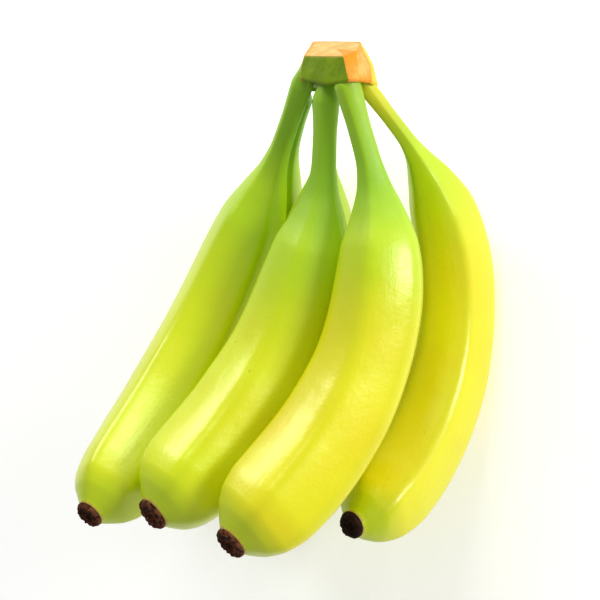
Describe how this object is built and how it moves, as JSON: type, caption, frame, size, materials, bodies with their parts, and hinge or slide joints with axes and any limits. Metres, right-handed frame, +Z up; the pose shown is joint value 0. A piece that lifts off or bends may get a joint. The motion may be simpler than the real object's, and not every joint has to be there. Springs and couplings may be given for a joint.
{
  "type": "bunch of bananas",
  "caption": "Bunch of green-yellow bananas joined at a cut crown, in two fanned rows with brown dried ends, lying on its outer curve.",
  "frame": {"origin": "on the table, under the middle of the bunch", "axes": "+Z up off the table, +Y along the bunch towards the crown, +X towards the right-hand banana"},
  "size_m": [0.1402, 0.1827, 0.1188],
  "materials": {
    "peel": "waxy, satin",
    "crown_tissue": "cut and drying",
    "dried_end": "rough"
  },
  "bodies": {
    "root": {"banana_front_left": "peel", "banana_front_middle": "peel", "banana_front_right": "peel", "banana_back_right": "peel", "banana_back_left": "peel", "banana_back_middle": "peel", "flower_end_front_left": "dried_end", "flower_end_front_middle": "dried_end", "flower_end_front_right": "dried_end", "flower_end_back_right": "dried_end", "flower_end_back_left": "dried_end", "flower_end_back_middle": "dried_end", "crown": "crown_tissue"}
  },
  "joints": []
}
